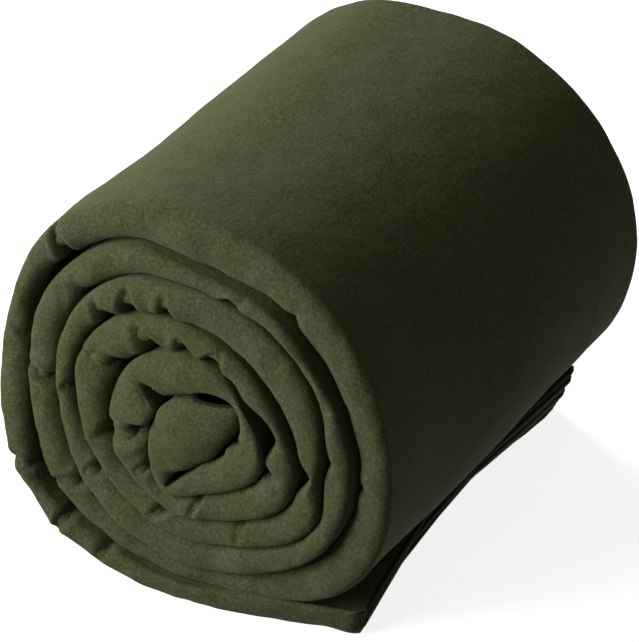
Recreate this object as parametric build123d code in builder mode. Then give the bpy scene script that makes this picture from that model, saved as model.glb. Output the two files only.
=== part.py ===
from build123d import *
import os
from math import pi

os.makedirs("parts", exist_ok=True)

# A camp blanket, folded into six layers and rolled up. Millimetres, +Z up.
# The roll's axis lies along Y. The fold edge of the strip is at the -Y end, its raw edges at the +Y end.
# The origin is the centre of the bottom of the whole blanket as it stands.

# Driving dimensions
cloth_width = 1524.0  # 60 in, folded in three and then in half across the strip
cloth_length = 2286.0  # 90 in, rolled up
layers = 6
roll_height = 224.0
half_turns = 11
pitch = 17.7  # one turn of the strip to the next
turn_gap = 0.6
base_press = 1.0  # how far the weight flattens the outermost turn on the ground
flat_run = 12.0  # straight part between two half turns, above and below the core
core_run = 13.0  # straight inner end of the strip
hinge_x = 41.0  # where the free end starts to lift, right of the roll's middle
lift_clearance = 0.3
near_edge_radius = 8.0
fold_edge_radius = 2.8
bead_depth = 1.2
bead_height = 2.2
label_width = 15.0
label_height = 30.0
label_thickness = 0.8
label_z = 118.0

# Derived dimensions
strip_width = cloth_width / layers
strip_thickness = pitch - turn_gap
layer_thickness = strip_thickness / layers
first_radius = (roll_height + base_press - strip_thickness) / 2
step = pitch / 2  # each half turn's radius is this much less than the one before
roll_x = step / 2  # the left half turn is wider than the right one, so this centres the whole
base_z = strip_thickness / 2 - base_press
far_y = (strip_width - bead_depth - label_thickness) / 2
near_y = far_y - strip_width
middle_y = (far_y + near_y) / 2
left_x, right_x = roll_x - flat_run / 2, roll_x + flat_run / 2
rolled_length = pi * (half_turns * first_radius - step * half_turns * (half_turns - 1) / 2)
rolled_length += flat_run * (half_turns - 1) + core_run
tip_x = left_x + cloth_length - rolled_length
hinge_line_x = roll_x + hinge_x
flap_start_x = hinge_line_x + lift_clearance
print("strip thickness", strip_thickness, "flap tip x", tip_x, "hinge x", hinge_line_x, "far y", far_y)


def across(layer):
    """Distance of a layer's middle from the strip's middle, outward. Layer 0 is the outermost."""
    return strip_thickness / 2 - (layer + 0.5) * layer_thickness


def roll_line(outward, y, first=0, last=half_turns):
    """The line along the half turns from first up to last, at a distance outward of the strip's middle.

    Half turn 0 is the outermost, and its line starts at the hinge, on the flat base."""
    z = base_z - outward
    with BuildLine(mode=Mode.PRIVATE) as line:
        if first == 0:
            Line((hinge_line_x, y, z), (left_x, y, z))
        for half_turn in range(last):
            radius = first_radius + outward - half_turn * step
            x, side = (left_x, -1) if half_turn % 2 == 0 else (right_x, 1)
            next_z = z - side * 2 * radius
            if half_turn >= first:
                ThreePointArc((x, y, z), (x + side * radius, y, (z + next_z) / 2), (x, y, next_z))
                run = core_run if half_turn == half_turns - 1 else flat_run
                Line((x, y, next_z), (x - side * run, y, next_z))
            z = next_z
    return line.line


def strip_section(x, z, heading):
    """The folded strip cut across where it runs along X: rounded at the fold edge, square at the raw edges.

    Heading is -1 on the base and 1 on top of the roll, so that the section's own +Y is outward."""
    plane = Plane(origin=(x, middle_y, z), x_dir=(0, 1, 0), z_dir=(heading, 0, 0))
    with BuildSketch(plane, mode=Mode.PRIVATE) as section:
        Rectangle(strip_width, strip_thickness)
        fillet(section.vertices().group_by(Axis.X)[0], radius=near_edge_radius)
        outer_far = section.vertices().group_by(Axis.X)[-1].sort_by(Axis.Y)[-1]
        fillet(outer_far, radius=fold_edge_radius)
    return section.sketch


def bead_section(x, layer):
    """One overlocked edge cut across: a low bead on the far face of the strip, over one layer."""
    centre = (x, far_y + bead_depth / 2, base_z - across(layer))
    with BuildSketch(Plane(origin=centre, x_dir=(0, 1, 0), z_dir=(-1, 0, 0)), mode=Mode.PRIVATE) as section:
        Rectangle(bead_depth, bead_height)
    return section.sketch


# The outermost half turn of the cloth, with the flat run that the roll stands on
with BuildPart() as outer_turn:
    sweep(strip_section(hinge_line_x, base_z, -1), path=roll_line(0, middle_y, 0, 1))
    split(bisect_by=Plane.XY)
outer_turn.part.label = "outer_turn"
export_step(outer_turn.part, "parts/outer_turn.step")

# The rest of the cloth, from the top of the roll in to its core
with BuildPart() as inner_turns:
    top_z = base_z + 2 * first_radius
    sweep(strip_section(right_x, top_z, 1), path=roll_line(0, middle_y, 1))
inner_turns.part.label = "inner_turns"
export_step(inner_turns.part, "parts/inner_turns.step")
expected = strip_width * strip_thickness * (cloth_length - (tip_x - hinge_line_x))
made = outer_turn.part.volume + inner_turns.part.volume
print("rolled cloth's share of section times length", made / expected)

# The free end of the strip, flat on the ground
with BuildPart() as free_end_flap:
    extrude(strip_section(flap_start_x, base_z, -1), amount=flap_start_x - tip_x)
    split(bisect_by=Plane.XY)
free_end_flap.part.label = "free_end_flap"
export_step(free_end_flap.part, "parts/free_end_flap.step")

# The overlocked long edges, which run along the whole strip at the far end, on the third and the sixth layer
outer_edge_layer, inner_edge_layer = 2, 5
for name, layer in (("long_edge_stitching_outer", outer_edge_layer), ("long_edge_stitching_inner", inner_edge_layer)):
    with BuildPart() as long_edge_stitching:
        sweep(bead_section(hinge_line_x, layer), path=roll_line(across(layer), far_y + bead_depth / 2))
    long_edge_stitching.part.label = name
    export_step(long_edge_stitching.part, f"parts/{name}.step")

# The same two edges along the flap
with BuildPart() as flap_edge_stitching:
    for layer in (outer_edge_layer, inner_edge_layer):
        extrude(bead_section(flap_start_x, layer), amount=flap_start_x - tip_x)
flap_edge_stitching.part.label = "flap_edge_stitching"
export_step(flap_edge_stitching.part, "parts/flap_edge_stitching.step")

# The overlocked short edges: one bead on each of the six layers, at the flap's tip and at the core
bead_length = strip_width - near_edge_radius - fold_edge_radius
bead_middle_y = middle_y + (near_edge_radius - fold_edge_radius) / 2
core_radius = first_radius - (half_turns - 1) * step
core_end_x = left_x + core_run
core_z = base_z + (half_turns // 2) * pitch + 2 * core_radius
for name, x, middle_z, outward in (
    ("free_end_stitching", tip_x + bead_depth / 2, base_z, -1),
    ("core_end_stitching", core_end_x + bead_depth / 2, core_z, 1),
):
    with BuildPart() as short_edge_stitching:
        for layer in range(layers):
            with Locations((x, bead_middle_y, middle_z + outward * across(layer))):
                Box(bead_depth, bead_length, bead_height)
        split(bisect_by=Plane.XY)
    short_edge_stitching.part.label = name
    export_step(short_edge_stitching.part, f"parts/{name}.step")

# A blank label on the two overlocked long edges, pressed flat against the far end
with BuildPart() as care_label:
    label_x = left_x - first_radius
    with Locations((label_x, far_y + bead_depth + label_thickness / 2, label_z)):
        Box(label_width, label_thickness, label_height)
care_label.part.label = "care_label"
export_step(care_label.part, "parts/care_label.step")
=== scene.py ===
import math

import bpy
import numpy as np
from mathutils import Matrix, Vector


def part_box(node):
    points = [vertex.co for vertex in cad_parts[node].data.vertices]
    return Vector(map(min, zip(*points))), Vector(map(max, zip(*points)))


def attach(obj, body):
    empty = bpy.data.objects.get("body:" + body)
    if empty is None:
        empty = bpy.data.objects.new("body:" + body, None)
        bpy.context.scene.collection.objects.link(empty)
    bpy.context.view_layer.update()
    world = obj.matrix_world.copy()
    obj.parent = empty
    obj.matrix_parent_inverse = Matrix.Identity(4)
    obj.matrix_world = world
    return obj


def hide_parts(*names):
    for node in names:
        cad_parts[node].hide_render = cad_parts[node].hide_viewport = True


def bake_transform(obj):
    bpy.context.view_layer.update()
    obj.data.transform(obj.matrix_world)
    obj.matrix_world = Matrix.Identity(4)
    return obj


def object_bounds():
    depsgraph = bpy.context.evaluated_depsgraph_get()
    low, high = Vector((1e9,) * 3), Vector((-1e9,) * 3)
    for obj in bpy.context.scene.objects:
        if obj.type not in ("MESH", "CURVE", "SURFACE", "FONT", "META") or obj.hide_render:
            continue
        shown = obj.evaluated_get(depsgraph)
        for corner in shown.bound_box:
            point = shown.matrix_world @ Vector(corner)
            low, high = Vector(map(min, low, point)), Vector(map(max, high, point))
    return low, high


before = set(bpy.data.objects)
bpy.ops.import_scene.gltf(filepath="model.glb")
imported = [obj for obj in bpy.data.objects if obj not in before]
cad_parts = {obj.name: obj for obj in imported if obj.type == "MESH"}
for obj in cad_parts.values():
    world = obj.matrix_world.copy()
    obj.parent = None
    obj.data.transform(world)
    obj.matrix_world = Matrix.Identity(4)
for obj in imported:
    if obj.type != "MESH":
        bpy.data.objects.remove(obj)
cad_low, cad_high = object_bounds()

# A camp blanket of one sheet, folded into a six-layer strip and rolled up. Metres, in the CAD frame.
# The strip is described at stations along its length, from its free end in to the core. At each station the
# sheet runs on one path: a raw edge, the folds of the six layers, and the other raw edge.

MM = 0.001
LAYERS = 6
STATIONS = 1440
FINE, MIDDLE, COARSE = 1, 2, 4  # a column of vertices uses every station, every second or every fourth
near_y = cad_low.y
far_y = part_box("inner_turns")[1].y

# ---------------------------------------------------------------- outline of the roll

# The turns wind round this point (x, z). Angles are in degrees and run from under the roll (0) by the left
# (90), the top (180) and the right (270), inwards. Each row is one turn further in, and holds (angle, radius
# in mm) of its outer surface, at the near end and at the far end. In the later tables, angles count on from
# turn to turn.
WINDING_CENTRE = np.array([1.5, 99.5]) * MM
NEAR_TURNS = [
    [(0, 99.5), (13, 100.5), (23, 103), (31, 105.5), (38, 106), (46, 109), (57, 108), (68, 110.5), (90, 113.5),
     (105, 115), (120, 118.5), (135, 124), (150, 128.5), (165, 128), (180, 126), (210, 122), (240, 115.5),
     (270, 110.5), (285, 110.5), (300, 109.5), (315, 104.5), (330, 95.5), (345, 87.5)],
    [(0, 84), (20, 85.5), (34, 88.5), (46, 93), (60, 97), (75, 94), (90, 93), (105, 96), (120, 101),
     (135, 104.5), (150, 107), (165, 106.5), (176, 101.5), (190, 98.5), (210, 100.5), (225, 97.5), (240, 95.5),
     (270, 92), (285, 89.5), (300, 86.5), (315, 81.5), (330, 77.5)],
    [(0, 75.5), (30, 77), (60, 78), (75, 76.5), (90, 75.5), (105, 78.5), (120, 83), (135, 87), (150, 89),
     (180, 87), (210, 87), (225, 86.5), (240, 83), (255, 78.5), (270, 74.5), (288, 77), (300, 74), (315, 67),
     (330, 61.5), (345, 60)],
    [(0, 60), (30, 60), (57, 61), (75, 62.5), (90, 65), (120, 70.5), (140, 71), (160, 68), (180, 65.5),
     (210, 62), (230, 60), (250, 60), (270, 61), (290, 59), (300, 56), (315, 50), (330, 46.5), (345, 44.5)],
    [(0, 46), (30, 46.5), (60, 48), (75, 49.5), (90, 48.5), (120, 47.5), (150, 48), (165, 47.5), (180, 48),
     (205, 48), (220, 45.5), (240, 42.5), (262, 40.5), (275, 41), (290, 39), (300, 36), (315, 32.5), (330, 31),
     (345, 30.5)],
    [(0, 33), (12, 35.5), (25, 36.5), (35, 35), (45, 31.5), (60, 26.5), (75, 25.5), (85, 24.5), (100, 22.5),
     (115, 21), (124, 21.5), (131, 26), (138, 26.5), (146, 24), (160, 23.2), (180, 24.2), (195, 28.5),
     (210, 34), (226, 38), (238, 35.5), (250, 29.5), (262, 24.5), (270, 19.5), (285, 18), (300, 16.5),
     (315, 15.5), (330, 14.5), (345, 15.5)],
    [(0, 19.5), (12, 25), (22, 33)],
]
FAR_TURNS = [
    [(0, 99.5), (15, 101), (45, 109), (90, 119), (135, 124), (160, 127), (180, 124), (205, 126), (225, 127.5),
     (250, 125.5), (270, 120), (300, 108.5), (315, 101), (330, 93.5), (345, 87)],
    [(0, 84.5), (45, 91), (90, 99), (135, 104), (180, 106), (225, 104), (270, 98.5), (315, 86), (345, 74.5)],
    [(0, 71.5), (45, 76), (90, 82), (135, 87), (180, 88), (225, 86), (270, 81), (315, 69), (345, 59.5)],
    [(0, 57.5), (45, 61), (90, 66), (135, 70), (180, 70.5), (225, 68), (270, 63), (315, 52), (345, 45.5)],
    [(0, 44.5), (45, 47), (90, 49.5), (135, 51.5), (180, 52.5), (225, 49), (262, 43), (300, 35.5), (330, 31),
     (345, 31)],
    NEAR_TURNS[5],
    NEAR_TURNS[6],
]
TONGUE_ANGLE = 5 * 360 + 22  # where the strip folds back on itself in the core
# The lobe inside the tongue, from that fold to the strip's inner end: (outer x, z, inner x, z) from the
# winding centre, in mm.
LOBE = [
    (-15.5, -31.8, -13.2, -29.6), (-17.5, -30.2, -12.6, -28.2), (-20.2, -27.2, -11.4, -26.0),
    (-22.4, -21.6, -9.2, -23.4), (-24.0, -13.5, 0.0, -18.6), (-23.4, -3.0, 5.6, -13.6),
    (-19.6, 6.0, 11.5, -9.4), (-17.6, 11.2, 16.5, -2.0), (-14.2, 15.6, 22.0, 7.0), (-7.5, 20.4, 27.4, 17.0),
    (0.5, 23.4, 28.4, 25.4),
]
# Places where the fold edge leans to the strip's inner (-) or outer (+) side: (angle, half length in degrees,
# lean as a share of the strip's thickness)
FOLD_LEANS = [(1440 + 100, 26, -0.32), (1440 + 248, 24, 0.34)]
# Gaps between a turn's inner side and the next turn: (angle, half length in degrees, extra gap in mm)
HOLLOWS = [(85, 30, 1.8), (124, 17, 5), (158, 13, 1.5), (360 + 105, 25, 0.8), (360 + 230, 20, 2.5),
           (720 + 120, 30, 0.8), (720 + 270, 9, 4), (1080 + 120, 25, 1.0), (1080 + 246, 16, 7.5),
           (1440 + 105, 20, 1.0), (1440 + 205, 30, 1.0)]
TURN_GAP = 0.7 * MM
TAIL_TOP = 14.3 * MM  # height of the free end's upper surface
# How far the strip's fold edge stands out of the near end: (angle, mm). The free end's angles are below 0.
NEAR_OFFSET = [(-52, -15.5), (-46, -13.5), (-34, -6.5), (-22, -0.5), (-10, 4.5), (0, 6.5), (20, 8), (46, 10.5),
               (68, 10), (95, 2.5), (125, 0), (150, 1.5), (180, 0), (230, -1), (300, -1), (345, -1), (400, 3),
               (480, 4), (540, 4), (640, 4.5), (760, 5), (900, 6.5), (1000, 6), (1150, 7), (1280, 8), (1400, 8),
               (1560, 9.5), (1700, 9.5), (1822, 9.5)]
SLIDE = np.array([0.577, 0.717])  # x and z of the way to the camera, for each unit towards -Y
SEEN_BEHIND = 5.8 * MM  # a fold edge that stands out this far needs no slide
# Where the outermost turn is drawn in (+) or stands out (-) behind its near edge: (depth in mm, angle, half
# length in degrees, sharpness, and where it starts, is full, begins to end and ends, in m behind the near end).
# It has a waist, a swelling at its upper left, and a bulge over the middle of the free end.
TURN_SHAPES = [
    (5, 205, 75, 4, 0.018, 0.07, 0.07, 0.16),
    (-2.6, 129, 25, 2, 0, 0.05, 0.06, 0.13),
    (-3, 312, 24, 2, 0.03, 0.08, 0.14, 0.2),
]
DETAIL_DEPTH = 0.23  # the near end's own shape fades into the far end's over this depth
# The free end's edge: (y, x of the edge) in mm, from the near end to the far end
TIP_EDGE = [(-128, 82), (-121, 87), (-113, 88.5), (-104, 87), (-84, 83.7), (-62, 79.2), (-40, 75.5),
            (-16, 73), (9, 70.8), (35, 71.4), (76, 74.1), (105, 77), (122, 77.5), (129, 75)]
TIP_X = 76 * MM
TIP_START = 20 * MM  # the edge's shape fades in from this x
TIP_LAYER_STEPS = [0.0, 0.8, 2.4, 2.0, 3.8, 3.2]  # mm, layer by layer from the lowest
TIP_LIFT = 15.5 * MM  # rise of the top layer at the free end's far corner, where the folds stand open
TIP_SPREAD = 8.5 * MM  # and how far that corner is drawn out
TIP_FAR_CORNER = 0.052, 0.122  # that corner opens between these y
TIP_NEAR_LIFT = 2.5 * MM  # rise of the lowest layer at the near corner
TIP_NEAR_CORNER = -0.104, -0.117  # and the y between which it rises


def spline(knots, values, at):
    """A smooth curve through (knots, values): cubic pieces whose slopes come from the points beside them."""
    knots, values, at = (np.asarray(a, float) for a in (knots, values, at))
    slopes = np.gradient(values, knots)
    i = np.clip(np.searchsorted(knots, at, side="right") - 1, 0, len(knots) - 2)
    width = knots[i + 1] - knots[i]
    t = (at - knots[i]) / width
    return (
        (2 * t**3 - 3 * t**2 + 1) * values[i]
        + (t**3 - 2 * t**2 + t) * width * slopes[i]
        + (3 * t**2 - 2 * t**3) * values[i + 1]
        + (t**3 - t**2) * width * slopes[i + 1]
    )


def smoothstep(low, high, x):
    t = np.clip((x - low) / (high - low), 0, 1)
    return t * t * (3 - 2 * t)


def soft_noise(points, size, seed):
    """Smooth noise from -1 to 1 at points (n, 3), with lumps about size across."""
    count = 32
    lattice = np.random.default_rng(seed).uniform(-1, 1, (count, count, count))
    p = points / size
    cell = np.floor(p).astype(int)
    f = p - cell
    f = f * f * (3 - 2 * f)
    total = np.zeros(len(points))
    for dx in (0, 1):
        for dy in (0, 1):
            for dz in (0, 1):
                corner = lattice[(cell[:, 0] + dx) % count, (cell[:, 1] + dy) % count, (cell[:, 2] + dz) % count]
                weight = (f[:, 0] if dx else 1 - f[:, 0]) * (f[:, 1] if dy else 1 - f[:, 1])
                total += corner * weight * (f[:, 2] if dz else 1 - f[:, 2])
    return total


def turn_radius(turns, angle):
    """Radius of the roll's spiral surface at an angle that counts on from turn to turn."""
    knots = [360 * turn + a for turn, row in enumerate(turns) for a, _ in row]
    radii = [r * MM for row in turns for _, r in row]
    return spline(knots, radii, angle)


def outline(turns):
    """Points (x, z) of the strip's outer and inner surface, from the free end in to the core, with each
    point's angle on the spiral. The free end has angles below 0, and the lobe's grow past the tongue's."""
    tail_points, lobe_points, degrees_apart = 60, 140, 0.5
    lobe_gap = 5  # degrees from the tongue's fold to the lobe's first point
    centre_x = WINDING_CENTRE[0]
    x = np.linspace(TIP_X, centre_x, tail_points)[:-1]
    outer = [np.stack([x, np.zeros_like(x)], 1)]
    inner = [np.stack([x, np.full_like(x, TAIL_TOP)], 1)]
    angles = [-(x - centre_x) / WINDING_CENTRE[1] * 180 / math.pi]
    a = np.arange(0, TONGUE_ANGLE, degrees_apart)
    way = np.stack([-np.sin(np.radians(a)), -np.cos(np.radians(a))], 1)
    outer.append(WINDING_CENTRE + turn_radius(turns, a)[:, None] * way)
    inner.append(WINDING_CENTRE + (turn_radius(turns, a + 360) + TURN_GAP)[:, None] * way)
    angles.append(a)
    row = np.linspace(0, len(LOBE) - 1, lobe_points)
    lobe = np.stack([spline(range(len(LOBE)), [p[k] * MM for p in LOBE], row) for k in range(4)], 1)
    outer.append(WINDING_CENTRE + lobe[:, :2])
    inner.append(WINDING_CENTRE + lobe[:, 2:])
    angles.append(TONGUE_ANGLE + lobe_gap + row)
    outer, inner, angles = np.concatenate(outer), np.concatenate(inner), np.concatenate(angles)
    outer[:, 1] = np.maximum(outer[:, 1], 0)
    return outer, inner, angles


near_outer, near_inner, raw_angles = outline(NEAR_TURNS)
far_outer, far_inner, _ = outline(FAR_TURNS)
middle = (near_outer + near_inner) / 2
raw_length = np.concatenate([[0], np.cumsum(np.linalg.norm(np.diff(middle, axis=0), axis=1))])
station_length = np.linspace(0, raw_length[-1], STATIONS + 1)


def resample(points):
    return np.stack([np.interp(station_length, raw_length, column) for column in points.T], 1)


near_outer, near_inner = resample(near_outer), resample(near_inner)
far_outer, far_inner = resample(far_outer), resample(far_inner)
station_angle = np.interp(station_length, raw_length, raw_angles)

# ---------------------------------------------------------------- the sheet's path across the strip

MAX_SHEET_HALF = 1.35 * MM  # half the sheet's thickness, where the strip has room for it
SHEET_SHARE = 0.46  # and its share of a layer's pitch, where it hasn't
FOLD_DEPTH = 8 * MM  # depth of the outer fold's round edge
FREE_END_TAPER = 0.018  # the fold's edge is flatter over this length from the free end
FREE_END_FLATNESS = 0.4  # and has this share of its depth there
FOLD_ROUNDNESS = 2.3  # 2 is an ellipse, and more is squarer
CORNER_LENGTH, CORNER_DEPTH = 6 * MM, 4 * MM  # the fold edge rounds off at both ends of the strip
SEAM_WAVE, SEAM_WAVE_SIZE = 1.2 * MM, 0.05  # the far end's folds and raw edges are a little out of line
FAR_FOLD_BACK = 3.2 * MM  # the far folds' flanks end this far before the raw edges
RAW_EDGE_STEP = 3 * MM  # from a raw edge to the next column
FAR_FOLD_OUT = 1.15  # depth of the far folds' edge, in layer pitches
FLANK = 0.028  # the outer fold's flanks have closer columns over this length

offset_angles, offsets = np.array(NEAR_OFFSET, float).T


def stand_out(angle):
    """How far the strip's fold edge stands out of the near end at an angle that counts on from turn to turn."""
    return spline(offset_angles, offsets * MM, np.clip(angle, offset_angles[0], offset_angles[-1]))


def slide(angle):
    """Shift (x, z) of the inner turns that makes up for how far their fold edge stands out, seen from the
    camera: an edge that stands out is seen lower to the left, and the gap behind it is seen higher."""
    first_angle, full_angle = 290, 380
    size = (stand_out(angle) - SEEN_BEHIND) * smoothstep(first_angle, full_angle, angle)
    return size[:, None] * SLIDE


fold_front = near_y - stand_out(station_angle)
near_outer += slide(station_angle)
near_inner += slide(np.maximum(station_angle, 0) + 360) * smoothstep(-40, 0, station_angle)[:, None]
thickness = np.linalg.norm(near_outer - near_inner, axis=1)
layer_pitch = thickness / LAYERS
sheet_half = np.minimum(SHEET_SHARE * layer_pitch, MAX_SHEET_HALF)
end_distance = np.minimum(station_length, station_length[-1] - station_length)
corner = np.clip(1 - end_distance / CORNER_LENGTH, 0, 1)
fold_front += CORNER_DEPTH * (1 - np.sqrt(1 - corner**2))
taper = FREE_END_FLATNESS + (1 - FREE_END_FLATNESS) * smoothstep(0, FREE_END_TAPER, station_length)
fold_depth = np.minimum(0.5 * thickness, FOLD_DEPTH) * taper
# The fold edge leans to the upper side of the free end (-), and a little to the outer side (+) further round
fold_lean = -0.5 + 0.6 * smoothstep(-25, 60, station_angle)
for angle, half_length, lean in FOLD_LEANS:
    fold_lean += lean * np.exp(-np.abs((station_angle - angle) / half_length) ** 3)
seam_line = np.stack([station_length, np.zeros_like(station_length), np.zeros_like(station_length)], 1)
far_end = far_y + SEAM_WAVE * soft_noise(seam_line, SEAM_WAVE_SIZE, 3)


class Column:
    """One line of the sheet's path: for every station a share of the strip's thickness (from -0.5, inner, to
    0.5, outer), and y. The layer is counted from the outermost, and a fold's lies between two layers."""

    def __init__(self, share, y, layer, level):
        self.share, self.y, self.layer, self.level = share, y, layer, level


def layer_share(layer):
    """Share of the thickness of a layer's middle, at every station, with the sheet's faces on the strip's."""
    reach = 0.5 - sheet_half / thickness
    return reach * (1 - 2 * layer / (LAYERS - 1))


def flat_columns(layer, starts, ends, shares, level):
    """Columns on a layer's flat stretch, at shares of the way from starts to ends."""
    return [Column(layer_share(layer), starts + (ends - starts) * s, layer, level) for s in shares]


def fold_columns(first, second, tangent, depth, count, level, roundness=2.0, skew=0.0):
    """Columns round a fold that joins two layers, with its flanks at y = tangent and its edge depth away.

    The skew moves the edge towards the strip's outer side, in shares of its thickness."""
    made = []
    a, b = layer_share(first), layer_share(second)
    for k in range(1, count):
        turn = math.pi * k / count
        across = math.copysign(abs(math.cos(turn)) ** (2 / roundness), math.cos(turn))
        along = abs(math.sin(turn)) ** (2 / roundness)
        share = (a + b) / 2 + (a - b) / 2 * across + skew * along
        layer = first + (second - first) * k / count
        made.append(Column(share, tangent + depth * along, layer, level))
    return made


def path_columns():
    """The whole path: the raw edge of layer 2, folds 2-3, 3-4, 4-1, 1-0, 0-5, and the raw edge of layer 5.

    The outer fold, 0-5, is the round edge that shows at the near end."""
    near = fold_front + fold_depth
    far = far_end - FAR_FOLD_BACK
    flank = near + FLANK
    fold_out = FAR_FOLD_OUT * layer_pitch
    columns = []
    columns += flat_columns(2, far_end, far_end, [0], MIDDLE)
    columns += flat_columns(2, far_end - RAW_EDGE_STEP, near, [0, 0.12, 0.4, 0.75, 1], COARSE)
    columns += fold_columns(2, 3, near, -0.35 * fold_depth, 4, COARSE)
    columns += flat_columns(3, near, far, [0, 0.3, 0.65, 0.9], COARSE)
    columns += flat_columns(3, far, far, [0], MIDDLE)
    columns += fold_columns(3, 4, far, fold_out, 7, MIDDLE)
    columns += flat_columns(4, far, far, [0], MIDDLE)
    columns += flat_columns(4, far, near, [0.1, 0.35, 0.7, 1], COARSE)
    columns += fold_columns(4, 1, near, -0.62 * fold_depth, 6, COARSE)
    columns += flat_columns(1, near, far, [0, 0.3, 0.65, 0.9], COARSE)
    columns += flat_columns(1, far, far, [0], MIDDLE)
    columns += fold_columns(1, 0, far, fold_out, 7, MIDDLE)
    columns += flat_columns(0, far, far, [0], MIDDLE)
    columns += flat_columns(0, far, flank, np.linspace(0, 1, 22)[1:], COARSE)
    columns += flat_columns(0, flank, near, [0.2, 0.4, 0.6, 0.8], MIDDLE)
    columns += flat_columns(0, near, near, [0], FINE)
    columns += fold_columns(0, 5, near, -(fold_depth - sheet_half), 20, FINE, FOLD_ROUNDNESS, fold_lean)
    columns += flat_columns(5, near, near, [0], FINE)
    columns += flat_columns(5, near, flank, [0.2, 0.4, 0.6, 0.8], MIDDLE)
    columns += flat_columns(5, flank, far_end - RAW_EDGE_STEP, [0, 0.3, 0.65, 1], COARSE)
    columns += flat_columns(5, far_end, far_end, [0], MIDDLE)
    return columns


columns = path_columns()
share = np.stack([c.share * np.ones(STATIONS + 1) for c in columns], 1)
path_y = np.stack([c.y * np.ones(STATIONS + 1) for c in columns], 1)
column_layer = np.array([c.layer for c in columns])
column_level = [c.level for c in columns]

# ---------------------------------------------------------------- puckers of the fold edge

# The cloth is short of room on the inside of each turn, and gathers in V-shaped puckers: (angle, half width in
# mm, depth in mm, reach across the strip from its inner side in shares of its thickness, lean in mm)
PUCKERS = [
    (31, 1.8, 6, 0.8, 1), (46.5, 1.5, 8, 1.05, -3), (66.5, 1.3, 6, 3.0, 6), (107, 2.0, 4, 0.6, 1),
    (141, 1.6, 11, 1.6, 3), (214, 2.0, 3, 0.5, 4), (270, 2.0, 2.5, 0.7, 3),
    (360 + 55, 1.6, 8, 1.1, 8), (360 + 98, 1.9, 8, 1.1, 6), (360 + 138, 3.5, 3.5, 0.5, 2),
    (360 + 197, 1.8, 6, 1.0, 10), (360 + 262, 3.0, 3, 0.5, 0),
    (720 + 57, 1.7, 7, 0.8, 0), (720 + 98, 2.2, 6, 0.6, 0), (720 + 141, 1.9, 8, 0.85, 2),
    (720 + 154, 1.9, 8, 0.9, 9), (720 + 171, 1.8, 8, 0.8, 4), (720 + 269, 2.4, 8, 0.6, 0),
    (720 + 327, 1.6, 5, 0.9, 8),
    (1080 + 20, 1.5, 8, 0.9, 7), (1080 + 75, 2.4, 4, 0.6, 1), (1080 + 123, 2.8, 12, 1.0, -7),
    (1080 + 156, 2.3, 11, 0.85, -5), (1080 + 177, 2.0, 9, 0.6, -4), (1080 + 197, 2.0, 10, 0.9, 6),
    (1080 + 248, 5.0, 7, 0.5, 0), (1080 + 277, 2.0, 9, 0.6, 3), (1080 + 353, 1.4, 6, 1.0, 7),
    (1440 + 46, 1.4, 6, 0.9, 2), (1440 + 81, 2.2, 13, 2.2, -3), (1440 + 138, 2.0, 13, 0.3, 2),
    (1440 + 262, 1.6, 4, 0.6, 0),
]
PUCKER_WIDTH = 2.4  # the puckers' width at the strip's inner side, in shares of the table's
PUCKER_RIM = 0.16  # height of the swelling on both sides of a pucker, as a share of its depth
PUCKER_PINCH = 0.42  # how far a pucker draws the inner side out, as a share of its depth
MAX_PINCH = 0.3  # share of the strip's thickness
LUMPS = [(1.3 * MM, 0.017, 21), (0.5 * MM, 0.007, 22)]  # the fold edge's soft lumps: (height, size, seed)
EDGE_SHAPE_START, EDGE_SHAPE_END = 0.004, 0.034  # puckers and lumps fade out between these depths


def pucker_depth(station, across):
    """How far the fold edge is drawn in at points given by length along the strip and share across it."""
    inward = across + 0.5
    total = np.zeros_like(inward)
    for angle, half_width, depth, reach, lean in PUCKERS:
        at = np.interp(angle, station_angle, station_length)
        left = np.clip(1 - inward / reach, 0, 1)
        width = PUCKER_WIDTH * half_width * MM * (0.3 + 0.7 * left)
        offset = (station - at - lean * MM * (inward - 0.3)) / width
        profile = 0.55 * np.exp(-np.abs(offset) ** 1.3) + 0.5 * np.exp(-np.abs(offset) / 0.4)
        total += depth * MM * left**0.75 * profile
        total -= PUCKER_RIM * depth * MM * left**0.5 * np.exp(-((np.abs(offset) - 2.0) ** 2) / 0.8)
    return total


def fold_lumps(station, across):
    """Soft lumps of the fold edge between its puckers, outwards of the near end."""
    place = np.stack([station, 0.02 * across, np.zeros_like(station)], -1).reshape(-1, 3)
    return sum(height * soft_noise(place, size, seed) for height, size, seed in LUMPS).reshape(station.shape)


station_grid = np.repeat(station_length[:, None], len(columns), 1)
fold_distance = path_y - (fold_front + fold_depth)[:, None]
near_edge_share = smoothstep(EDGE_SHAPE_END, EDGE_SHAPE_START, fold_distance)
outermost = next(i for i, c in enumerate(columns) if c.layer == 0)
in_outer_fold = np.arange(len(columns)) >= outermost
drawn_in = pucker_depth(station_grid, share) - fold_lumps(station_grid, share)
drawn_in *= near_edge_share * in_outer_fold

pinch = PUCKER_PINCH * pucker_depth(station_length, np.full(STATIONS + 1, -0.5))[:, None]
pinch = np.clip(pinch, 0, MAX_PINCH * thickness[:, None])
near_inner += pinch * (near_outer - near_inner) / thickness[:, None]
for angle, half_length, gap in HOLLOWS:
    open_gap = gap * MM * np.exp(-np.abs((station_angle - angle) / half_length) ** 3)
    near_inner += open_gap[:, None] * (near_outer - near_inner) / thickness[:, None]


def at_stations(values, stations):
    """Values of a station table at stations that may lie between two of them."""
    low = np.minimum(stations.astype(int), STATIONS - 1)
    part = (stations - low).reshape(-1, *[1] * (values.ndim - 1))
    return values[low] * (1 - part) + values[low + 1] * part


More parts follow.
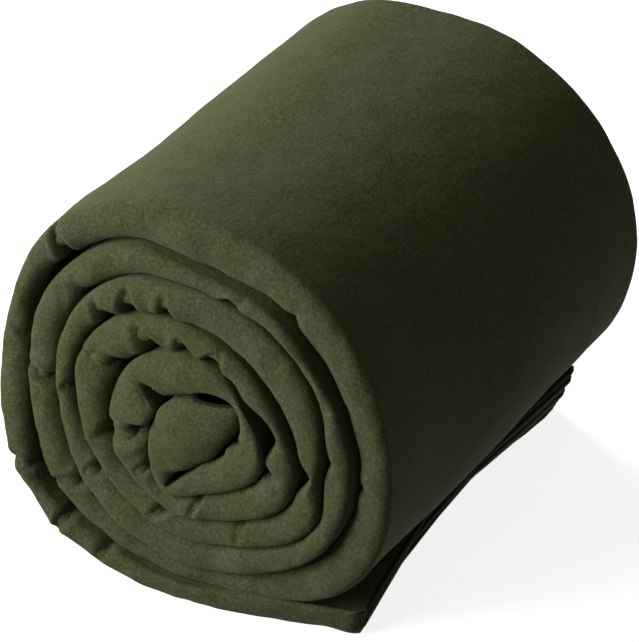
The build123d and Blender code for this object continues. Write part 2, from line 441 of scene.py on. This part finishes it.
def cloth_point(stations, shares, y):
    """Points of the strip at stations, shares of its thickness and y, as (n, 3)."""
    mix = smoothstep(near_y, near_y + DETAIL_DEPTH, y)[:, None]
    outer = at_stations(near_outer, stations) * (1 - mix) + at_stations(far_outer, stations) * mix
    inner = at_stations(near_inner, stations) * (1 - mix) + at_stations(far_inner, stations) * mix
    at = (outer + inner) / 2 + (outer - inner) * shares[:, None]
    angle, behind = at_stations(station_angle, stations), y - near_y
    inwards = np.zeros_like(angle)
    for depth, middle_angle, half_length, sharpness, start, full, fade, end in TURN_SHAPES:
        along = np.exp(-(((angle - middle_angle) / half_length) ** sharpness))
        inwards += depth * MM * along * (smoothstep(start, full, behind) - smoothstep(fade, end, behind))
    at += inwards[:, None] * (inner - outer) / np.linalg.norm(inner - outer, axis=1)[:, None]
    return np.stack([at[:, 0], y, at[:, 1]], 1)


def shape_tip(points, stations, layers):
    """Shape the free end's wavy edge, with its layers a little out of line, its near corner rounded, and its
    far corner standing open."""
    edge_y, edge_x = np.array(TIP_EDGE).T * MM
    edge = spline(edge_y, edge_x, np.clip(points[:, 1], edge_y[0], edge_y[-1]))
    step = np.interp(layers, range(LAYERS), [s * MM for s in TIP_LAYER_STEPS])
    in_free_end = at_stations(station_angle, stations) < 0
    weight = np.where(in_free_end, smoothstep(TIP_START, TIP_X, points[:, 0]), 0)
    points[:, 0] += (edge - TIP_X + step) * weight
    open_corner = smoothstep(*TIP_FAR_CORNER, points[:, 1]) * weight**1.5 * points[:, 2] / TAIL_TOP
    near_corner = smoothstep(*TIP_NEAR_CORNER, points[:, 1]) * weight**2
    points[:, 2] += TIP_NEAR_LIFT * near_corner * (1 - points[:, 2] / TAIL_TOP)
    points[:, 2] += TIP_LIFT * open_corner
    points[:, 0] += TIP_SPREAD * open_corner
    return points


# In the core the inner layers end 6 stations short of the outer fold and leave a pocket, which comes on over the
# last 16 stations
CORE_POCKET, CORE_POCKET_FADE = 6, 16


def side_points(side):
    """Vertices of one face of the sheet, as (stations, columns, 3). Side 1 is the outer face of the outermost
    layer, and side -1 is the other face."""
    across = share * thickness[:, None]
    d_across = np.gradient(across, axis=1)
    d_y = np.gradient(path_y, axis=1)
    size = np.hypot(d_across, d_y) + 1e-12
    half = sheet_half[:, None] * side
    across = across - half * d_y / size
    y = path_y + half * d_across / size + drawn_in
    rows, cols = np.indices(share.shape)
    short = CORE_POCKET * smoothstep(STATIONS - CORE_POCKET_FADE, STATIONS, rows) * (cols < outermost)
    stations = (rows - short).ravel()
    shares = (across / thickness[:, None]).ravel()
    points = cloth_point(stations, shares, y.ravel())
    points = shape_tip(points, stations, column_layer[cols.ravel()])
    return points.reshape(*share.shape, 3)


upper, lower = side_points(1), side_points(-1)


def add_nap_lumps(points, seed):
    """Make the cloth's surface softly uneven: along y at the near end, and outwards on the outermost turn."""
    fine_height, fine_size, broad_height, broad_size = 0.35 * MM, 0.009, 0.5 * MM, 0.03
    near_start, near_full = near_y + 0.03, near_y - 0.005
    outside_start, outside_full = 0.085, 0.1  # distance from the winding centre
    flat = points.reshape(-1, 3)
    size = fine_height * soft_noise(flat, fine_size, seed) + broad_height * soft_noise(flat, broad_size, seed + 1)
    centre = np.array([WINDING_CENTRE[0], 0, WINDING_CENTRE[1]])
    way = flat - centre
    way[:, 1] = 0
    way /= np.linalg.norm(way, axis=1)[:, None] + 1e-9
    near = smoothstep(near_start, near_full, flat[:, 1])
    flat[:, 1] += -size * near
    outside = smoothstep(outside_start, outside_full, np.linalg.norm((flat - centre)[:, [0, 2]], axis=1))
    flat += way * (size * outside * (1 - near))[:, None]
    flat[:, 2] = np.maximum(flat[:, 2], 0)
    return flat.reshape(points.shape)


upper = add_nap_lumps(upper, 11)

# ---------------------------------------------------------------- the sheet's mesh


def add_object(name, data):
    made = bpy.data.objects.new(name, data)
    bpy.context.scene.collection.objects.link(made)
    return made


def keep_place(mesh):
    """Store each vertex's place at rest, for the cloth's grain."""
    attribute = mesh.attributes.new("cloth_place", "FLOAT_VECTOR", "POINT")
    place = np.zeros(3 * len(mesh.vertices), np.float32)
    mesh.vertices.foreach_get("co", place)
    attribute.data.foreach_set("vector", place)


def join_columns(index_a, level_a, index_b, level_b, first, last, flip):
    """Faces between two neighbouring columns, whose vertices may be at different station steps. The indexes
    give the vertex at each station."""
    faces = []
    coarse = max(level_a, level_b)
    for i in range(first, last, coarse):
        run_a = [index_a[j] for j in range(i, i + coarse + 1, level_a)]
        run_b = [index_b[j] for j in range(i, i + coarse + 1, level_b)]
        face = run_a + run_b[::-1]
        faces.append(face[::-1] if flip else face)
    return faces


def sheet_object(name, first, last):
    """The closed sheet from station first to station last, as a mesh object."""
    vertices, normals, faces, index = [], [], [], {}
    for side, points, ways in ((1, upper, upper_normals), (-1, lower, -lower_normals)):
        for column, level in enumerate(column_level):
            step = level if side == 1 else COARSE
            for i in range(first, last + 1, step):
                index[side, column, i] = len(vertices)
                vertices.append(points[i, column])
                normals.append(ways[i, column])
    for side in (1, -1):
        for column in range(len(columns) - 1):
            levels = [column_level[c] if side == 1 else COARSE for c in (column, column + 1)]
            lines = [{i: index[side, c, i] for i in range(first, last + 1, level)}
                     for c, level in zip((column, column + 1), levels)]
            faces += join_columns(lines[0], levels[0], lines[1], levels[1], first, last, side == 1)
    for column in (0, len(columns) - 1):
        lines = [{i: index[side, column, i] for i in range(first, last + 1, step)}
                 for side, step in ((1, column_level[column]), (-1, COARSE))]
        faces += join_columns(lines[0], column_level[column], lines[1], COARSE, first, last, column != 0)
    for i in (first, last):
        for column in range(len(columns) - 1):
            face = [index[1, column, i], index[1, column + 1, i], index[-1, column + 1, i], index[-1, column, i]]
            faces.append(face if i == last else face[::-1])
    mesh = bpy.data.meshes.new(name)
    mesh.from_pydata([tuple(v) for v in vertices], [], faces)
    keep_place(mesh)
    mesh.shade_smooth()
    mesh.normals_split_custom_set_from_vertices([tuple(n) for n in normals])
    return add_object(name, mesh)


def grid_normals(points):
    """Normals of a grid of points, out of the face that the sheet's path has on its left."""
    normal = np.cross(np.gradient(points, axis=1), np.gradient(points, axis=0))
    return normal / (np.linalg.norm(normal, axis=2)[..., None] + 1e-15)


upper_normals, lower_normals = grid_normals(upper), grid_normals(lower)
facing = np.sign(np.sum(upper_normals * (upper - lower), axis=2).mean())
upper_normals, lower_normals = upper_normals * facing, lower_normals * facing

SPLIT = int(np.searchsorted(station_angle, 0) // COARSE * COARSE)
free_end_cloth = sheet_object("free_end_cloth", 0, SPLIT)
rolled_cloth = sheet_object("rolled_cloth", SPLIT, STATIONS)

# ---------------------------------------------------------------- overlock edges and label

STITCH_STEP = 1.7 * MM
BAND_WIDTH = 2.6 * MM
BAND_REACH = 0.4 * MM  # how far the band stands out past the raw edge
BAND_CORNER = 0.1 * MM
STITCH_HEIGHTS = 0.42 * MM, 0.12 * MM  # over the cloth, on a stitch and beside it


def running_length(points):
    return np.concatenate([[0], np.cumsum(np.linalg.norm(np.diff(points, axis=0), axis=1))])


def tube_object(name, rings):
    """A closed tube through rings of points, as a mesh object. rings has the shape (rings, points, 3)."""
    count, size, _ = rings.shape
    faces = [[r * size + k, r * size + (k + 1) % size, (r + 1) * size + (k + 1) % size, (r + 1) * size + k]
             for r in range(count - 1) for k in range(size)]
    faces += [list(range(size))[::-1], [(count - 1) * size + k for k in range(size)]]
    mesh = bpy.data.meshes.new(name)
    mesh.from_pydata([tuple(v) for v in rings.reshape(-1, 3)], [], faces)
    mesh.shade_smooth()
    return add_object(name, mesh)


def overlock(name, face_a, face_b, inside):
    """Thread sewn over a raw edge: a ribbed band round it. face_a and face_b are the edge's two lines on the
    sheet's faces, and inside is a line in the sheet beside the edge."""
    length = running_length((face_a + face_b) / 2)
    at = np.arange(0, length[-1], STITCH_STEP)
    a, b, c = (np.stack([np.interp(at, length, line[:, k]) for k in range(3)], 1)
               for line in (face_a, face_b, inside))
    edge = (a + b) / 2
    out = edge - c
    out /= np.linalg.norm(out, axis=1)[:, None] + 1e-9
    over = a - edge
    over /= np.linalg.norm(over, axis=1)[:, None] + 1e-9
    half = np.linalg.norm(a - edge, axis=1)[:, None]
    rib = np.where(np.arange(len(at)) % 2 == 0, *STITCH_HEIGHTS)[:, None]
    ring = [
        edge - out * BAND_WIDTH + over * (half + rib * 0.6),
        edge - out * BAND_WIDTH * 0.5 + over * (half + rib),
        edge + out * BAND_CORNER + over * (half + rib * 0.5),
        edge + out * (BAND_REACH + rib),
        edge + out * BAND_CORNER - over * (half + rib * 0.5),
        edge - out * BAND_WIDTH * 0.5 - over * (half + rib),
        edge - out * BAND_WIDTH - over * (half + rib * 0.6),
    ]
    return tube_object(name, np.stack(ring, 1))


def long_edge(name, column, beside, first, last):
    part = slice(first, last + 1)
    inside = (upper[part, beside] + lower[part, beside]) / 2
    return overlock(name, upper[part, column], lower[part, column], inside)


def short_edge(name, station, beside):
    return overlock(name, upper[station], lower[station], (upper[beside] + lower[beside]) / 2)


LAST_COLUMN = len(columns) - 1
outer_edge_thread = long_edge("outer_edge_thread", 0, 1, SPLIT, STATIONS)
inner_edge_thread = long_edge("inner_edge_thread", LAST_COLUMN, LAST_COLUMN - 1, SPLIT, STATIONS)
flap_edge_threads = [long_edge("flap_outer_edge_thread", 0, 1, 0, SPLIT),
                     long_edge("flap_inner_edge_thread", LAST_COLUMN, LAST_COLUMN - 1, 0, SPLIT)]
free_end_thread = short_edge("free_end_thread", 0, 2)
core_end_thread = short_edge("core_end_thread", STATIONS, STATIONS - 2)


def label_object():
    """A blank woven label sewn into the inner raw edge of the outermost turn, and turned down over the folds
    of the far end."""
    first_angle, last_angle = 84, 99
    first_share, label_thickness = -0.42, 0.5 * MM
    across_count, along_count = 9, 13
    first, last = (int(np.searchsorted(station_angle, angle)) for angle in (first_angle, last_angle))
    stations = np.linspace(first, last, along_count)
    rows = []
    for part in np.linspace(0, 1, across_count):
        bow = (1.5 + 3.2 * math.sin(math.pi * min(1, part * 1.15)) + 0.6 * part) * MM
        shares = np.full(along_count, first_share + part)
        rows.append(cloth_point(stations, shares, np.full(along_count, far_y + bow)))
    front = np.stack(rows)
    back = front - np.array([0, label_thickness, 0])
    vertices = np.concatenate([front.reshape(-1, 3), back.reshape(-1, 3)])
    total = across_count * along_count
    faces = []
    for i in range(across_count - 1):
        for j in range(along_count - 1):
            a = i * along_count + j
            quad = [a, a + 1, a + along_count + 1, a + along_count]
            faces += [quad, [total + v for v in quad[::-1]]]
    grid = np.arange(total).reshape(across_count, along_count)
    rim = np.concatenate([grid[0], grid[1:, -1], grid[-1, -2::-1], grid[-2:0:-1, 0]]).tolist()
    for a, b in zip(rim, rim[1:] + rim[:1]):
        faces.append([b, a, total + a, total + b])
    mesh = bpy.data.meshes.new("sewn_label")
    mesh.from_pydata([tuple(v) for v in vertices], [], faces)
    mesh.validate()
    return add_object("sewn_label", mesh)


sewn_label = label_object()

# ---------------------------------------------------------------- materials


def new_material(name, color, roughness):
    material = bpy.data.materials.new(name)
    material.use_nodes = True
    shader = material.node_tree.nodes["Principled BSDF"]
    shader.inputs["Base Color"].default_value = (*color, 1)
    shader.inputs["Roughness"].default_value = roughness
    return material, material.node_tree, shader


def noise_node(tree, vector, scale, detail=2.0, roughness=0.5):
    node = tree.nodes.new("ShaderNodeTexNoise")
    node.inputs["Scale"].default_value = scale
    node.inputs["Detail"].default_value = detail
    node.inputs["Roughness"].default_value = roughness
    tree.links.new(vector, node.inputs["Vector"])
    return node


def ramp_node(tree, value, stops):
    node = tree.nodes.new("ShaderNodeValToRGB")
    elements = node.color_ramp.elements
    while len(elements) < len(stops):
        elements.new(0.5)
    for element, (position, color) in zip(elements, stops):
        element.position, element.color = position, (*color, 1)
    tree.links.new(value, node.inputs["Fac"])
    return node


def fleece():
    """Short-napped olive cloth: a fine mottled nap, patches of a slightly different tone, and soft lumps."""
    nap_scale, patch_scale, lump_scale = 620, 55, 140
    base = np.array([0.078, 0.085, 0.0405])
    material, tree, shader = new_material("olive_fleece", tuple(base), 0.95)
    place = tree.nodes.new("ShaderNodeAttribute")
    place.attribute_name = "cloth_place"
    vector = place.outputs["Vector"]
    nap = noise_node(tree, vector, nap_scale, 3, 0.6)
    patches = noise_node(tree, vector, patch_scale, 3, 0.55)
    nap_stops = [(0.3, tuple(base * 0.62)), (0.52, tuple(base)), (0.72, tuple(base * 1.5))]
    color = ramp_node(tree, nap.outputs["Fac"], nap_stops)
    tone_stops = [(0.3, (0.84, 0.87, 0.72)), (0.5, (0.95, 0.96, 0.92)), (0.7, (1.02, 1.0, 1.15))]
    tone = ramp_node(tree, patches.outputs["Fac"], tone_stops)
    mix = tree.nodes.new("ShaderNodeMix")
    mix.data_type, mix.blend_type = "RGBA", "MULTIPLY"
    mix.inputs["Factor"].default_value = 1
    tree.links.new(color.outputs["Color"], mix.inputs["A"])
    tree.links.new(tone.outputs["Color"], mix.inputs["B"])
    tree.links.new(mix.outputs["Result"], shader.inputs["Base Color"])
    fine = tree.nodes.new("ShaderNodeBump")
    fine.inputs["Strength"].default_value = 0.55
    fine.inputs["Distance"].default_value = 0.0006
    tree.links.new(nap.outputs["Fac"], fine.inputs["Height"])
    broad = noise_node(tree, vector, lump_scale, 3, 0.6)
    bump = tree.nodes.new("ShaderNodeBump")
    bump.inputs["Strength"].default_value = 0.5
    bump.inputs["Distance"].default_value = 0.0012
    tree.links.new(broad.outputs["Fac"], bump.inputs["Height"])
    tree.links.new(fine.outputs["Normal"], bump.inputs["Normal"])
    tree.links.new(bump.outputs["Normal"], shader.inputs["Normal"])
    shader.inputs["Sheen Weight"].default_value = 0.15
    shader.inputs["Sheen Roughness"].default_value = 0.6
    shader.inputs["Sheen Tint"].default_value = (0.6, 0.66, 0.35, 1)
    shader.inputs["Specular IOR Level"].default_value = 0.05
    return material


cloth_material = fleece()
# The thread's dark colour is partly the overlock's own dark olive and partly painted shade: it is darker than the
# yarn so that the free end's edge looks shaded.
thread_and_painted_shade_material, _, thread_shader = new_material("olive_thread_and_painted_shade", (0.028, 0.031, 0.015), 0.9)
thread_shader.inputs["Specular IOR Level"].default_value = 0.1
label_material, _, _ = new_material("label_cloth", (0.5, 0.48, 0.4), 0.6)
for piece in (free_end_cloth, rolled_cloth):
    piece.data.materials.append(cloth_material)
threads = [outer_edge_thread, inner_edge_thread, *flap_edge_threads, free_end_thread, core_end_thread]
for piece in threads:
    piece.data.materials.append(thread_and_painted_shade_material)
sewn_label.data.materials.append(label_material)

# ---------------------------------------------------------------- how the pieces go with the frame

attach(rolled_cloth, "roll")
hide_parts("outer_turn", "inner_turns")
for piece in (outer_edge_thread, inner_edge_thread, core_end_thread, sewn_label):
    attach(piece, "roll")
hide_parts("long_edge_stitching_outer")
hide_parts("long_edge_stitching_inner")
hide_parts("core_end_stitching")
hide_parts("care_label")
for piece in (free_end_cloth, *flap_edge_threads, free_end_thread):
    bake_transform(piece)
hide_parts("free_end_flap")
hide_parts("flap_edge_stitching")
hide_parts("free_end_stitching")

# ---------------------------------------------------------------- floor, light and camera


def make_floor():
    """A pale floor that glows a little, so that it is as white as the photo's ground."""
    size = 6.0
    mesh = bpy.data.meshes.new("floor")
    corners = [(-size, -size, 0), (size, -size, 0), (size, size, 0), (-size, size, 0)]
    mesh.from_pydata(corners, [], [(0, 1, 2, 3)])
    floor = add_object("floor", mesh)
    material, _, shader = new_material("pale_floor", (0.8, 0.8, 0.8), 1.0)
    shader.inputs["Emission Color"].default_value = (1, 1, 1, 1)
    shader.inputs["Emission Strength"].default_value = 0.84
    mesh.materials.append(material)
    floor.visible_diffuse = False  # the floor's glow doesn't light the blanket


def way_to(azimuth, elevation):
    """Unit vector from the blanket: azimuth 0 is towards -Y and 90 towards +X, in degrees."""
    a, e = math.radians(azimuth), math.radians(elevation)
    return Vector((math.sin(a) * math.cos(e), -math.cos(a) * math.cos(e), math.sin(e)))


def aim(item, location, back):
    """Put a light or camera at a location, so that it looks against the direction back."""
    item.location = location
    item.rotation_mode = "QUATERNION"
    item.rotation_quaternion = back.to_track_quat("Z", "Y")


def area_light(name, azimuth, elevation, distance, size, power):
    """A soft square light that looks at the blanket from a direction given as for the camera."""
    back = way_to(azimuth, elevation)
    data = bpy.data.lights.new(name, "AREA")
    data.shape, data.size, data.energy = "SQUARE", size, power
    aim(add_object(name, data), Vector((0, 0, 0.1)) + back * distance, back)


def make_camera():
    azimuth, elevation, distance = 30.0, 31.8, 2.072
    back = way_to(azimuth, elevation)
    right = Vector((math.cos(math.radians(azimuth)), math.sin(math.radians(azimuth)), 0))
    up = back.cross(right)
    target = Vector((0, near_y + 0.127, 0.1036)) + right * 0.0015 - up * 0.0039
    data = bpy.data.cameras.new("camera")
    data.lens, data.sensor_width = 224.3, 36
    camera = add_object("camera", data)
    aim(camera, target + back * distance, back)
    bpy.context.scene.camera = camera


make_floor()
area_light("key", -38, 23, 1.15, 0.9, 15.6)
area_light("top", -128, 34, 1.5, 0.65, 11.7)
area_light("fill", 112, 4, 2.0, 1.2, 2.4)
make_camera()
world = bpy.data.worlds.new("studio")
world.use_nodes = True
surroundings = world.node_tree.nodes["Background"]
surroundings.inputs["Color"].default_value = (1, 1, 0.75, 1)
surroundings.inputs["Strength"].default_value = 0.083
bpy.context.scene.world = world
bpy.context.scene.view_settings.view_transform = "Standard"
